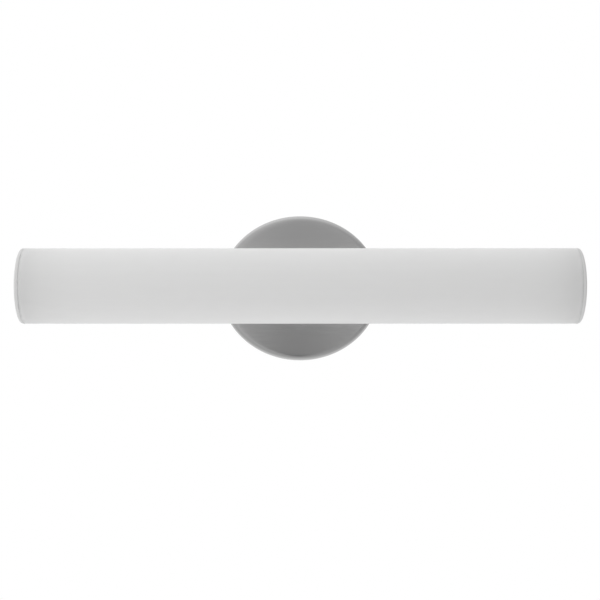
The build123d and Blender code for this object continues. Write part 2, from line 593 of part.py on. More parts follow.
def lock_screw():
    """Knurled screw at the +X side, its slim tip in the fork of the tab."""
    seat = CANOPY_WIDTH / 2 + 2 * FACE_GAP + LOCK_WASHER
    shoulder = tab_outer + 2 * HOLE_SLACK
    points = []
    for index in range(2 * KNURLS):
        radius = LOCK_HEAD_DIAMETER / 2 - KNURL_DEPTH * (index % 2)
        angle = pi * index / KNURLS
        points.append((radius * cos(angle), radius * sin(angle)))
    head = extrude(make_face(Polyline(*points, close=True)), LOCK_HEAD_HEIGHT)
    turned = extrude(Circle(LOCK_HEAD_DIAMETER / 2), LOCK_HEAD_HEIGHT)
    head &= chamfer(turned.edges(), 2 * KNURL_DEPTH)
    head -= extrude(Pos(0, 0, LOCK_HEAD_HEIGHT) * RegularPolygon(LOCK_DIAMETER / 2, 6), -LOCK_HEAD_HEIGHT / 2)
    screw = Plane((seat, -LOCK_OUT, 0), z_dir=(1, 0, 0)) * head
    screw += bar(LOCK_DIAMETER - 2 * THREAD_SLACK, shoulder, seat, LOCK_OUT)
    return screw + bar(LOCK_TIP_DIAMETER, tab_inner - LOCK_TIP_REACH, shoulder, LOCK_OUT)


def lock_screw_washer():
    """Thin nylon washer under the head of the +X lock screw."""
    start = CANOPY_WIDTH / 2 + FACE_GAP
    ring = bar(LOCK_WASHER_DIAMETER, start, start + LOCK_WASHER, LOCK_OUT)
    return ring - bar(LOCK_DIAMETER + HOLE_SLACK, start, start + LOCK_WASHER, LOCK_OUT)


nut_start = CANOPY_WIDTH / 2 - CANOPY_SHEET - CLINCH_LENGTH
clinch_nut = bar(CLINCH_DIAMETER, nut_start, CANOPY_WIDTH / 2, LOCK_OUT) & pan_inside
clinch_nut -= bar(LOCK_DIAMETER, nut_start, CANOPY_WIDTH / 2, LOCK_OUT)
nodes["clinch_nuts"] = Compound([clinch_nut, mirror(clinch_nut, Plane.YZ)])
nodes["lock_screw_right"] = lock_screw()
nodes["lock_screw_left"] = mirror(lock_screw(), Plane.YZ)
nodes["lock_screw_washer_right"] = lock_screw_washer()
nodes["lock_screw_washer_left"] = mirror(lock_screw_washer(), Plane.YZ)

os.makedirs("parts", exist_ok=True)
for name, shape in nodes.items():
    export_step(shape, "parts/" + name + ".step")
print(len(nodes), "nodes")
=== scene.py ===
from math import e, pi, radians
import bmesh
import bpy
import numpy as np
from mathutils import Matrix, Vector


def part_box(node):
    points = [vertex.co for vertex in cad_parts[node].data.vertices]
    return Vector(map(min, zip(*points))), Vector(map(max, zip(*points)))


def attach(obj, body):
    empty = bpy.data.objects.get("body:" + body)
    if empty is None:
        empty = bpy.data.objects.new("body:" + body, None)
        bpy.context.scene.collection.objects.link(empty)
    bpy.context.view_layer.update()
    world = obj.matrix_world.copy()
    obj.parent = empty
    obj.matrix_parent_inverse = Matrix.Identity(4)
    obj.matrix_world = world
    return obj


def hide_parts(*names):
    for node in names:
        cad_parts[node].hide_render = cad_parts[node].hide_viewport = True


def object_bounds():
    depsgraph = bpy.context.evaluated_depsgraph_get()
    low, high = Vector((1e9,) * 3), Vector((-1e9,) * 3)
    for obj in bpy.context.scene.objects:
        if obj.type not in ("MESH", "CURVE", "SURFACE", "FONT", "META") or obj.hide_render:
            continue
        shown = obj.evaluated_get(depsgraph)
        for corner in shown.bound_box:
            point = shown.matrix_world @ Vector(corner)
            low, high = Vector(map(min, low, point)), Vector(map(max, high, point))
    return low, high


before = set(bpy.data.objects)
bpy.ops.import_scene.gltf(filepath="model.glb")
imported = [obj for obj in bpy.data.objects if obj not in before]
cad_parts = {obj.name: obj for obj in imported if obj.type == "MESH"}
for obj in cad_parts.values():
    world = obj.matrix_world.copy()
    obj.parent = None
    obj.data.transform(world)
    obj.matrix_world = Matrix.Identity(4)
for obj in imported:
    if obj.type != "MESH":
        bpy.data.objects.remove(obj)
cad_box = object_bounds()

# Wall plate with its two forked side tabs: 2 mm steel, stamped and bent, then bright zinc plated, which
# leaves a faint cloudy bloom of yellow and blue. The earth screw through it is dyed green.


class Shade:
    """A value in a material's nodes. Operators add Math nodes, and node adds a node of any other kind."""

    def __init__(self, tree, socket=None):
        self.tree = tree
        self.socket = socket

    def node(self, kind, settings, inputs, output=0):
        """New node: its settings are set first, then each input gets its value or its link."""
        made = self.tree.nodes.new("ShaderNode" + kind)
        for name, value in settings.items():
            setattr(made, name, value)
        for name, value in inputs.items():
            if isinstance(value, Shade):
                self.tree.links.new(value.socket, made.inputs[name])
            else:
                made.inputs[name].default_value = value
        return Shade(self.tree, made.outputs[output] if made.outputs else None)

    def math(self, operation, first, second):
        """Math node of an operation on two values."""
        return self.node("Math", {"operation": operation}, {0: first, 1: second})

    def __add__(self, other):
        return self.math("ADD", self, other)

    def __sub__(self, other):
        return self.math("SUBTRACT", self, other)

    def __rsub__(self, other):
        return self.math("SUBTRACT", other, self)

    def __mul__(self, other):
        return self.math("MULTIPLY", self, other)

    def __truediv__(self, other):
        return self.math("DIVIDE", self, other)

    def __rpow__(self, other):
        return self.math("POWER", other, self)

    def __abs__(self):
        return self.math("ABSOLUTE", self, 0.0)

    __radd__ = __add__
    __rmul__ = __mul__


def open_finish(name):
    """New empty material, and the place on the object as the first value of its nodes."""
    material = bpy.data.materials.new(name)
    material.use_nodes = True
    material.node_tree.nodes.clear()
    return material, Shade(material.node_tree).node("TexCoord", {}, {}, "Object")


def close_finish(material, place, sockets, height, relief):
    """Ends a material with a surface shader. A height from 0 to 1, times a relief in metres, is its bump."""
    bump = place.node("Bump", {}, {"Height": height, "Distance": relief, "Strength": 1.0})
    shader = place.node("BsdfPrincipled", {}, {**sockets, "Normal": bump})
    place.node("OutputMaterial", {}, {"Surface": shader})
    return material


def grain(place, waves, detail=3.0):
    """Noise from 0 to 1. Its waves to the metre are one number for all ways, or one each for X, Y and Z."""
    waves = waves if isinstance(waves, tuple) else (waves, waves, waves)
    spread = place.node("VectorMath", {"operation": "MULTIPLY"}, {0: place, 1: waves})
    return place.node("TexNoise", {}, {"Vector": spread, "Scale": 1.0, "Detail": detail})


def ramp(value, low, high):
    """0 at low, 1 at high, a smooth step between them and level beyond them."""
    inputs = {"Value": value, "From Min": low, "From Max": high}
    return value.node("MapRange", {"interpolation_type": "SMOOTHSTEP"}, inputs)


def tint(share, first, second):
    """Colour that goes from the first to the second as the share goes from 0 to 1."""
    ends = [colour if isinstance(colour, Shade) else (*colour, 1.0) for colour in (first, second)]
    return share.node("Mix", {"data_type": "RGBA"}, {0: share, 6: ends[0], 7: ends[1]}, 2)


def plated_steel(name, dark, light, bloom):
    """Plated sheet: colour clouds a few centimetres wide, fine roller lines along X and a satin sheen."""
    material, place = open_finish(name)
    clouds = grain(place, 38.0)
    specks = grain(place, 900.0, 2.0)
    lines = grain(place, (60.0, 2600.0, 2600.0), 2.0)
    colour = tint(ramp(clouds, 0.35, 0.65), dark, light)
    colour = tint(ramp(grain(place, 21.0), 0.45, 0.75) * 0.5, colour, bloom)
    roughness = 0.24 + clouds * 0.12 + specks * 0.08
    sockets = {"Base Color": colour, "Roughness": roughness, "Metallic": 1.0}
    return close_finish(material, place, sockets, lines * 0.6 + specks * 0.4, relief=0.000012)


def dress(material, *names):
    """Gives nodes of the frame a material."""
    for name in names:
        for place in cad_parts[name].material_slots:
            place.material = material


zinc = plated_steel(
    "bright_zinc", dark=(0.54, 0.55, 0.57), light=(0.68, 0.69, 0.70), bloom=(0.66, 0.64, 0.56)
)
green_zinc = plated_steel(
    "green_dyed_zinc", dark=(0.03, 0.22, 0.07), light=(0.06, 0.34, 0.12), bloom=(0.12, 0.36, 0.10)
)
dress(zinc, "mounting_plate", "side_tabs")
dress(green_zinc, "ground_screw")

# Canopy: a shallow oval pan of 1.2 mm steel, drawn to a rounded edge with its rim turned in at the wall, then
# nickel plated and brushed from side to side on the face and round the edge. A hole at each side, with a zinc
# plated clinch nut behind it, takes a lock screw.
SHEET = 0.0012
SHEET_BREAK = 0.00022
EDGE_DROP = 0.003
EDGE_INSET = 0.0045
REAR_BEND = 0.0016
RIM_WIDTH = 0.005
RIM_ROW = 0.0006
LOCK_HOLE_RADIUS = 0.00225
FLAT_SHARE = 0.2
ROUND_STEPS = 240
FACE_RINGS = 26
HOLE_CELLS = 2
HOLE_REACH = 5
MERGE_DISTANCE = 1e-7
SHARP_ANGLE = 38
BREAK_ANGLE = 50


def corners(node):
    """Lowest and highest corner of a node's box, in metres."""
    return [np.array(corner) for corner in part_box(node)]


band_low, band_high = corners("canopy_band")
half_width = band_high[0]
half_height = band_high[2]
canopy_rear = -band_high[1]
canopy_front = -band_low[1]
lock_low, lock_high = corners("lock_screw_right")
lock_out = -(lock_low[1] + lock_high[1]) / 2
canopy_cell = 2 * pi / ROUND_STEPS * half_height


def bored(across, along, radius, cell):
    """Grid lines drawn aside for a round hole at 0, 0: the square of lines that is HOLE_CELLS cells from the
    centre goes onto the circle, and squares further out go back to straight lines at HOLE_REACH cells. The
    centre counts as a tenth of a cell off itself, so that nothing is divided by zero."""
    square = np.maximum(np.abs(across), np.abs(along))
    pull = np.clip((HOLE_REACH * cell - square) / ((HOLE_REACH - HOLE_CELLS) * cell), 0.0, 1.0)
    scale = 1.0 + pull * (radius / np.maximum(np.hypot(across, along), cell / 10) - 1.0)
    return across * scale, along * scale


def cells_around(across, along, cell):
    """True for the cells of a grid that lie outside the square of lines round a hole at 0, 0."""
    square = np.maximum(np.abs(across), np.abs(along))
    middle = (square[:-1, :-1] + square[1:, 1:]) / 2
    return middle > HOLE_CELLS * cell * 0.99


def arc(centre, radius, start, stop, steps):
    """Points of an arc about a centre, between two angles in degrees."""
    angle = np.radians(np.linspace(start, stop, steps))
    return np.stack([centre[0] + radius * np.cos(angle), centre[1] + radius * np.sin(angle)], axis=-1)


def oval_inset(turn, inset):
    """X and Z on the oval at each turn, drawn in by an inset square to its outline. An inset past FLAT_SHARE
    of the half height goes on by shrinking the oval to its middle."""
    edge_x, edge_z = half_width * np.cos(turn), half_height * np.sin(turn)
    normal = np.stack([edge_x / half_width**2, edge_z / half_height**2])
    normal = normal / np.hypot(*normal)
    depth = np.minimum(inset, FLAT_SHARE * half_height)
    shrink = np.clip((half_height - inset) / ((1 - FLAT_SHARE) * half_height), 0.0, 1.0)
    return (edge_x - depth * normal[0]) * shrink, (edge_z - depth * normal[1]) * shrink


def canopy_profile():
    """Outer side of the pan as insets from the outline and distances out from the wall: rings over the face
    from its middle, a quarter ellipse at the edge, rows down the wall, a quarter circle at the rear, and the
    flat rim with a row beside its inner edge."""
    face_rings = np.linspace(half_height, EDGE_INSET, FACE_RINGS)
    face = np.stack([face_rings, np.full(FACE_RINGS, canopy_front)], axis=-1)
    edge = arc((1.0, 0.0), 1.0, 90, 180, steps=17) * [EDGE_INSET, EDGE_DROP]
    edge = edge + [0.0, canopy_front - EDGE_DROP]
    wall_rows = lock_out + canopy_cell * np.arange(HOLE_REACH, -HOLE_REACH - 1, -1)
    wall = np.stack([np.zeros(wall_rows.size), wall_rows], axis=-1)
    rear = arc((REAR_BEND, canopy_rear + REAR_BEND), REAR_BEND, 180, 270, steps=7)
    rim = [[RIM_WIDTH - RIM_ROW, canopy_rear], [RIM_WIDTH, canopy_rear]]
    return np.concatenate([face, edge, wall, rear, rim])


def canopy_sheet():
    """The profile carried round the oval, with its rows and columns drawn aside for the two lock holes. The
    brush map is X and Z on the face, and elsewhere the way round the oval and the way down the profile. Gives
    the points, their map and the cells that stay."""
    profile = canopy_profile()
    turn = np.linspace(2 * pi, 0.0, ROUND_STEPS + 1)[None, :]
    out = profile[:, 1][:, None] + 0.0 * turn
    travel = np.concatenate([[0.0], np.cumsum(np.hypot(*np.diff(profile, axis=0).T))])[:, None]
    across, along = half_height * ((turn + pi / 2) % pi - pi / 2), out - lock_out
    moved_across, moved_along = bored(across, along, LOCK_HOLE_RADIUS, canopy_cell)
    turn = turn + (moved_across - across) / half_height
    x, z = oval_inset(turn, profile[:, 0][:, None])
    points = np.stack([x, -lock_out - moved_along, z], axis=-1)
    flow = np.stack([turn * (half_width + half_height) / 2, travel - (moved_along - along)], axis=-1)
    on_face = np.arange(len(profile))[:, None, None] < FACE_RINGS
    brush = np.where(on_face, points[:, :, [0, 2]], flow)
    return points, brush, cells_around(across, along, canopy_cell)


def grid_mesh(name, points, uv=None, keep=None, closed=True):
    """Mesh of a grid of points: a quad to each cell that is kept, coincident points merged, and all faces
    turned outward where the surface is closed. The map, where given, holds a pair for each point."""
    rows, columns = points.shape[:2]
    corner = np.arange(rows * columns).reshape(rows, columns)
    quads = np.stack([corner[:-1, :-1], corner[:-1, 1:], corner[1:, 1:], corner[1:, :-1]], axis=-1)
    quads = quads.reshape(-1, 4) if keep is None else quads[keep]
    used, index = np.unique(quads, return_inverse=True)
    mesh = bpy.data.meshes.new(name)
    mesh.from_pydata(points.reshape(-1, 3)[used].tolist(), [], index.reshape(-1, 4).tolist())
    if uv is not None:
        layer = mesh.uv_layers.new(name="brush")
        layer.uv.foreach_set("vector", uv.reshape(-1, 2)[quads.ravel()].ravel())
    built = bmesh.new()
    built.from_mesh(mesh)
    bmesh.ops.remove_doubles(built, verts=built.verts, dist=MERGE_DISTANCE)
    bmesh.ops.dissolve_degenerate(built, edges=built.edges, dist=MERGE_DISTANCE / 10)
    if closed:
        bmesh.ops.recalc_face_normals(built, faces=built.faces)
    built.to_mesh(mesh)
    built.free()
    mesh.shade_smooth()
    mesh.set_sharp_from_angle(angle=radians(SHARP_ANGLE))
    return mesh


def add_piece(mesh, material, body, slot, *nodes):
    """Object of a mesh, with its material, that rides on a body and stands for some nodes."""
    mesh.materials.append(material)
    piece = bpy.data.objects.new(mesh.name, mesh)
    bpy.context.scene.collection.objects.link(piece)
    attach(piece, body)
    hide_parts(*nodes)
    return piece


def thicken(piece, thickness, edge):
    """Gives a sheet its thickness, inward, and breaks its edges."""
    wall = piece.modifiers.new("wall", "SOLIDIFY")
    wall.thickness = thickness
    wall.offset = -1.0
    wall.use_quality_normals = True
    broken = piece.modifiers.new("edge", "BEVEL")
    broken.width = edge
    broken.segments = 3
    broken.limit_method = "ANGLE"
    broken.angle_limit = radians(BREAK_ANGLE)
    broken.harden_normals = True


def brushed_nickel(name):
    """Brushed plate: long fine scratches along the map's first way, a few broader ones, and soft clouds."""
    material, place = open_finish(name)
    flow = place.node("UVMap", {"uv_map": "brush"}, {})
    fine = grain(flow, (22.0, 4200.0, 1.0), 4.0)
    broad = grain(flow, (9.0, 700.0, 1.0))
    share = ramp(broad, 0.3, 0.7) * 0.6 + grain(place, 17.0) * 0.4
    sockets = {
        "Base Color": tint(share, (0.552, 0.552, 0.552), (0.588, 0.587, 0.585)),
        "Roughness": 0.135 + fine * 0.06 + broad * 0.03,
        "Metallic": 1.0,
        "Anisotropic": 0.9,
        "Anisotropic Rotation": 0.25,
    }
    return close_finish(material, place, sockets, fine * 0.85 + broad * 0.15, relief=0.000006)


canopy_points, brush_map, canopy_cells = canopy_sheet()
canopy_mesh = grid_mesh("canopy", canopy_points, brush_map, canopy_cells, closed=False)
nickel = brushed_nickel("brushed_nickel")
canopy = add_piece(canopy_mesh, nickel, "fixture", "brushed_nickel", "canopy_face", "canopy_band")
thicken(canopy, SHEET, SHEET_BREAK)
dress(zinc, "clinch_nuts")

# Wall gasket: a flat oval ring of black closed-cell foam, die-cut with soft edges. It is stuck to the
# canopy's turned-in rim, so that no damp gets behind the light.
FOAM_STEPS = 24
FOAM_POWER = 0.4
GASKET_BULGE = 0.00015


def foam_section(width, thickness, bulge):
    """Closed outline of a foam strip: a circle's cosine and sine raised to a low power, which makes a rounded
    rectangle, made narrower by the bulge at its top and bottom so that its sides swell."""
    turn = np.linspace(0.0, 2 * pi, FOAM_STEPS + 1)
    across = np.sign(np.cos(turn)) * np.abs(np.cos(turn)) ** FOAM_POWER
    up = np.sign(np.sin(turn)) * np.abs(np.sin(turn)) ** FOAM_POWER
    across = across * (width / 2 - bulge * up**2)
    return np.stack([across, up * thickness / 2], axis=-1)


def gasket_ring():
    """The foam section carried round the canopy's oval, with its inner side in line with the rim's."""
    low, high = corners("canopy_gasket")
    width = RIM_WIDTH - (half_width - high[0])
    section = foam_section(width, high[1] - low[1], GASKET_BULGE)
    profile = section + [RIM_WIDTH - width / 2, -low[1] / 2]
    turn = np.linspace(0.0, 2 * pi, ROUND_STEPS + 1)[None, :]
    x, z = oval_inset(turn, profile[:, 0][:, None])
    return np.stack([x, -profile[:, 1][:, None] + 0.0 * turn, z], axis=-1)


def closed_foam(name):
    """Closed-cell foam: round cells about 0.4 mm wide pressed into a matt black skin with patches of dust;
    its colour is paler where the cells stand up and darker in their hollows.
    """
    material, place = open_finish(name)
    cells = place.node("TexVoronoi", {}, {"Vector": place, "Scale": 2400.0})
    dust = grain(place, 130.0)
    colour = tint(dust * 0.6 + cells * 0.4, (0.018, 0.018, 0.019), (0.055, 0.055, 0.057))
    sockets = {"Base Color": colour, "Roughness": 0.82 + dust * 0.14, "Specular IOR Level": 0.25}
    return close_finish(material, place, sockets, cells, relief=0.00008)


foam = closed_foam("closed_foam")
gasket_mesh = grid_mesh("canopy_gasket_foam", gasket_ring())
gasket = add_piece(gasket_mesh, foam, "fixture", "black_foam", "canopy_gasket")

# Stem: a short round turning of aluminium, nickel plated, cut to the curve of the tube. A thin clear silicone
# pad lies in the curve. Both have a bore for the hollow nipple, and two screws from behind hold the stem.
BORE_SLACK = 0.00025
PAD_THICKNESS = 0.0008
STEM_BREAK = 0.0004
PAD_BREAK = 0.0001
SADDLE_STEPS = 144
REACH_STEPS = 10
CORNER_STEPS = 6

tube_low, tube_high = corners("diffuser_tube")
tube_radius = (tube_high[2] - tube_low[2]) / 2
axis_out = -tube_low[1] - tube_radius
tube_half = tube_high[0]
stem_radius = corners("stem")[1][0]
nipple_low, nipple_high = corners("nipple")
nipple_radius = nipple_high[0]
bore_radius = nipple_radius + BORE_SLACK


def saddle_solid(name, low_curve, high_curve, edge):
    """Round solid square to the wall between two curves that give the distance out at a height z. Its outline
    goes out along the low curve from bore to rim, round the broken edge and up the rim, back along the high
    curve and down the bore."""
    turn = np.linspace(0.0, 2 * pi, SADDLE_STEPS + 1)[None, :]
    reach = np.linspace(bore_radius, stem_radius - edge, REACH_STEPS)
    bend = np.radians(np.linspace(15, 90, CORNER_STEPS))
    corner = stem_radius - edge + edge * np.sin(bend)
    lift = edge - edge * np.cos(bend)
    radius = np.concatenate([reach, corner, corner[::-1], reach[::-1], reach[:1]])[:, None]
    up = np.concatenate([0 * reach, lift, -lift[::-1], 0 * reach, [0.0]])[:, None]
    on_low = (np.arange(radius.size) < REACH_STEPS + CORNER_STEPS)[:, None]
    on_low[-1] = True
    x, z = radius * np.cos(turn), radius * np.sin(turn)
    out = np.where(on_low, low_curve(z), high_curve(z)) + up
    return grid_mesh(name, np.stack([x, -out, z], axis=-1))


def tube_curve(radius):
    """Distance out, at a height z, of the back of a cylinder round the tube's axis."""
    return lambda z: axis_out - np.sqrt(radius**2 - z**2)


def canopy_face_curve(z):
    """Distance out of the canopy's face, the same at every height z."""
    return canopy_front + 0 * z


def turned_nickel(name):
    """Turned and plated: fine rings round an axis square to the wall, worked out from the distance out."""
    material, place = open_finish(name)
    rings = grain(place, (30.0, 5200.0, 30.0))
    colour = tint(rings * 0.5 + grain(place, 26.0) * 0.5, (0.46, 0.46, 0.46), (0.56, 0.558, 0.555))
    sockets = {"Base Color": colour, "Roughness": 0.25 + rings * 0.14, "Metallic": 1.0}
    return close_finish(material, place, sockets, rings, relief=0.00001)


def clear_silicone(name):
    """Cloudy clear silicone: a milky body with fine dust and a soft sheen."""
    material, place = open_finish(name)
    haze = grain(place, 240.0)
    sockets = {
        "Base Color": tint(haze, (0.68, 0.69, 0.69), (0.80, 0.81, 0.81)),
        "Roughness": 0.34 + haze * 0.2,
        "Subsurface Weight": 0.3,
        "Subsurface Scale": 0.001,
    }
    return close_finish(material, place, sockets, haze, relief=0.00002)


pad_curve = tube_curve(tube_radius + PAD_THICKNESS)
stem_mesh = saddle_solid("stem_turning", canopy_face_curve, pad_curve, STEM_BREAK)
add_piece(stem_mesh, turned_nickel("turned_nickel"), "fixture", "stem_nickel", "stem")
pad_mesh = saddle_solid("saddle_silicone", pad_curve, tube_curve(tube_radius), PAD_BREAK)
add_piece(pad_mesh, clear_silicone("clear_silicone"), "fixture", "clear_silicone", "saddle_pad")
dress(zinc, "stem_screws")

# Nipple: a hollow steel bar, threaded from end to end and zinc plated. With a washer and nut in the canopy
# and the T nut in the spine it draws canopy, stem and tube together.
NIPPLE_PITCH = 0.001
NIPPLE_THREAD = 0.6 * NIPPLE_PITCH
NIPPLE_BORE = 0.0032
NIPPLE_STEPS = 48
THREAD_ROWS = 8


def zigzag(value):
    """Waves from 0 up to 1 and back, one to each whole step of the value."""
    return np.abs(2.0 * (value % 1.0) - 1.0)


def nipple_grid():
    """Bar turned about an axis square to the wall: zigzag waves that climb one pitch a turn come off its
    radius, its ends slope to the thread's root, and the last rows close it along the bore."""
    rear, front = -nipple_high[1], -nipple_low[1]
    rows = np.append(np.arange(rear, front, NIPPLE_PITCH / THREAD_ROWS), front)
    turn = np.linspace(0.0, 2 * pi, NIPPLE_STEPS + 1)[None, :]
    thread = NIPPLE_THREAD * zigzag(rows[:, None] / NIPPLE_PITCH - turn / (2 * pi))
    end_slope = NIPPLE_THREAD - np.minimum(rows - rear, front - rows)[:, None]
    outside = nipple_radius - np.maximum(thread, end_slope)
    bore_wall = np.full((2, NIPPLE_STEPS + 1), NIPPLE_BORE)
    radius = np.concatenate([outside, bore_wall, outside[:1]])
    out = np.concatenate([rows, [front, rear, rear]])[:, None] + 0 * turn
    return np.stack([radius * np.cos(turn), -out, radius * np.sin(turn)], axis=-1)


add_piece(grid_mesh("nipple_thread", nipple_grid()), zinc, "fixture", "zinc_steel", "nipple")
dress(zinc, "lock_washer", "rear_nut", "t_nut")

# Opal tube: extruded acrylic, 3 mm thick and matt outside, cut to length. It is bored once at the back for
# the nipple, which clamps it between the stem outside and the spine inside.
TUBE_WALL = 0.003
TUBE_BREAK = 0.00002
TUBE_STEPS = 144
END_ROW = 0.001
FAR_ROWS = 18
# Reach of the painted shade towards the tube's ends, and of the painted light at its seam with the cap.
END_SHADE_FADE = 0.018
SEAM_LIGHT_FADE = 0.0018


def tube_grid():
    """Outer side of the tube: rows along X, close together at the nipple's hole and with one beside each end,
    and columns round the axis, both drawn aside for the hole. Gives the points and the cells that stay."""
    cell = 2 * pi / TUBE_STEPS * tube_radius
    near_rows = cell * np.arange(-HOLE_REACH, HOLE_REACH + 1)
    far_rows = np.linspace(near_rows[-1], tube_half - END_ROW, FAR_ROWS)[1:]
    rows = np.concatenate([[-tube_half], -far_rows[::-1], near_rows, far_rows, [tube_half]])
    turn = np.linspace(-pi, pi, TUBE_STEPS + 1)[None, :]
    along = rows[:, None] + 0.0 * turn
    girth = turn * tube_radius + 0.0 * along
    cells = cells_around(girth, along, cell)
    girth, along = bored(girth, along, bore_radius, cell)
    angle = girth / tube_radius
    points = [along, tube_radius * np.cos(angle) - axis_out, tube_radius * np.sin(angle)]
    return np.stack(points, axis=-1), cells


def part_of(place, axis):
    """The X, Y or Z of a place or a direction."""
    return place.node("SeparateXYZ", {}, {"Vector": place}, axis)


def opal_acrylic(name):
    """Matt opal: milky white that light wanders through, with faint lines along X. Painted shade darkens it a
    breath towards its ends, and painted light pales it again at the seam next to the cap."""
    material, place = open_finish(name)
    inward = abs(part_of(place, "X")) - tube_half
    lines = grain(place, (3.0, 420.0, 420.0), 2.0)
    haze = grain(place, 30.0)
    colour = tint(lines * 0.5 + haze * 0.5, (0.822, 0.822, 0.820), (0.852, 0.852, 0.850))
    # painted shade: the colour darkens towards the tube's ends
    colour = tint(e ** (inward / END_SHADE_FADE), colour, (0.70, 0.70, 0.698))
    # painted light: the colour pales again at the seam with the cap
    colour = tint(e ** (inward / SEAM_LIGHT_FADE) * 0.7, colour, (0.88, 0.88, 0.878))
    sockets = {
        "Base Color": colour,
        "Roughness": 0.46 + haze * 0.08,
        "IOR": 1.49,
        "Subsurface Weight": 1.0,
        "Subsurface Radius": (1.0, 1.0, 1.0),
        "Subsurface Scale": TUBE_WALL,
    }
    texture = grain(place, 1800.0, 2.0) * 0.5 + lines
    return close_finish(material, place, sockets, texture, relief=0.00001)


tube_points, tube_cells = tube_grid()
tube_mesh = grid_mesh("opal_tube", tube_points, keep=tube_cells, closed=False)
tube = add_piece(tube_mesh, opal_acrylic("opal_acrylic"), "fixture", "opal_acrylic", "diffuser_tube")
thicken(tube, TUBE_WALL, TUBE_BREAK)

# End caps: satin white mouldings, each a flat flange as wide as the tube with a hollow plug that pushes into
# the bore. A rubber ring in a groove of the plug holds it.
CAP_EDGE = 0.0015
CAP_ROW = 0.0006
SEAM_BREAK = 0.00002
SEAM_ROW = 0.0003
PLUG_SLIP = 0.0002
PLUG_WALL = 0.003
GROOVE_WIDTH = 0.0018
RING_SLIP = 0.00005
RING_SECTION = 0.0014
CAP_STEPS = 144
SIDES = {"left": -1, "right": 1}

cap_low, cap_high = corners("end_cap_right")
plug_end, cap_outer = cap_low[0], cap_high[0]
tube_bore = tube_radius - TUBE_WALL
groove_middle = (plug_end + tube_half) / 2


def cap_profile():
    """Half section of the cap as places along X and radii: the flat end, its rounded edge, the flange's side
    down to the seam, the plug with its groove, and the hollow back to the axis. The flat end and the flange's
    side have a row beside their edges."""
    flat = tube_radius - CAP_EDGE
    plug = tube_bore - PLUG_SLIP
    hollow = plug - PLUG_WALL
    groove = tube_bore - RING_SLIP - RING_SECTION
    groove_far = groove_middle + GROOVE_WIDTH / 2
    groove_near = groove_middle - GROOVE_WIDTH / 2
    return np.concatenate([
        [[cap_outer, 0.0], [cap_outer, flat / 2], [cap_outer, flat - CAP_ROW]],
        arc((cap_outer - CAP_EDGE, flat), CAP_EDGE, 0, 90, steps=9),
        [[tube_half + SEAM_BREAK + SEAM_ROW, tube_radius]],
        arc((tube_half + SEAM_BREAK, tube_radius - SEAM_BREAK), SEAM_BREAK, 90, 180, steps=5),
        [[tube_half, plug], [groove_far, plug], [groove_far, groove], [groove_near, groove]],
        [[groove_near, plug], [plug_end + SEAM_BREAK, plug], [plug_end, plug - SEAM_BREAK]],
        [[plug_end, hollow], [tube_half, hollow], [tube_half, 0.0]],
    ])


def turned_along_x(name, profile, side):
    """Solid turned about the tube's axis: each profile point is a place along X and a radius."""
    turn = np.linspace(0.0, 2 * pi, CAP_STEPS + 1)[None, :]
    x = side * profile[:, 0][:, None] + 0.0 * turn
    radius = profile[:, 1][:, None]
    points = [x, radius * np.cos(turn) - axis_out, radius * np.sin(turn)]
    return grid_mesh(name, np.stack(points, axis=-1))


def moulded(name, dark, light, roughness, texture):
    """Moulded plastic: an even colour with faint flow clouds, and a fine sparked texture with so many waves
    to the metre."""
    material, place = open_finish(name)
    sparked = grain(place, texture, 2.0)
    colour = tint(grain(place, 24.0) * 0.7 + sparked * 0.3, dark, light)
    sockets = {"Base Color": colour, "Roughness": roughness + sparked * 0.12}
    return close_finish(material, place, sockets, sparked, relief=0.000014)


def ring_rubber(name):
    """Black sealing rubber with a faint grey bloom."""
    material, place = open_finish(name)
    bloom = grain(place, 160.0)
    colour = tint(bloom, (0.016, 0.016, 0.016), (0.05, 0.05, 0.051))
    sockets = {"Base Color": colour, "Roughness": 0.5 + bloom * 0.25}
    return close_finish(material, place, sockets, bloom, relief=0.00001)


ring_centre = (groove_middle, tube_bore - RING_SLIP - RING_SECTION / 2)
ring_profile = arc(ring_centre, RING_SECTION / 2, 0, 360, steps=25)
cap_white = moulded("cap_white", (0.69, 0.69, 0.688), (0.72, 0.72, 0.718), roughness=0.5, texture=2600.0)
rubber = ring_rubber("ring_rubber")
for side, sign in SIDES.items():
    cap_mesh = turned_along_x("cap_" + side, cap_profile(), sign)
    add_piece(cap_mesh, cap_white, "end_cap_" + side, "cap_white", "end_cap_" + side)
    ring_mesh = turned_along_x("cap_ring_" + side, ring_profile, sign)
    add_piece(ring_mesh, rubber, "end_cap_" + side, "black_rubber", "sealing_ring_" + side)

# Wire bushing: a small moulding of natural nylon, pressed into the nipple's rear end so that the LED leads
# don't chafe on the cut thread.
nylon = moulded("natural_nylon", (0.74, 0.72, 0.65), (0.83, 0.81, 0.75), roughness=0.38, texture=1500.0)
dress(nylon, "wire_bushing")

# Spine: an extruded aluminium channel along the tube's back, left as it comes from the die, with fine lines
# along its length. It carries the white LED board, which five small screws hold.
TRACK_PITCH = 0.0048


def mill_aluminium(name):
    """Mill finish: die lines along X of several widths on a pale grey metal."""
    material, place = open_finish(name)
    lines = grain(place, (4.0, 3000.0, 3000.0), 4.0)
    bands = grain(place, (2.0, 260.0, 260.0), 2.0)
    colour = tint(lines * 0.5 + bands * 0.5, (0.60, 0.605, 0.615), (0.76, 0.765, 0.77))
    sockets = {"Base Color": colour, "Roughness": 0.3 + lines * 0.2, "Metallic": 1.0}
    return close_finish(material, place, sockets, lines, relief=0.00001)


def waves_of(value, pitch):
    """Straight waves from 0 up to 1 and back, one to each pitch of a value."""
    return value.math("PINGPONG", value, pitch / 2) / (pitch / 2)


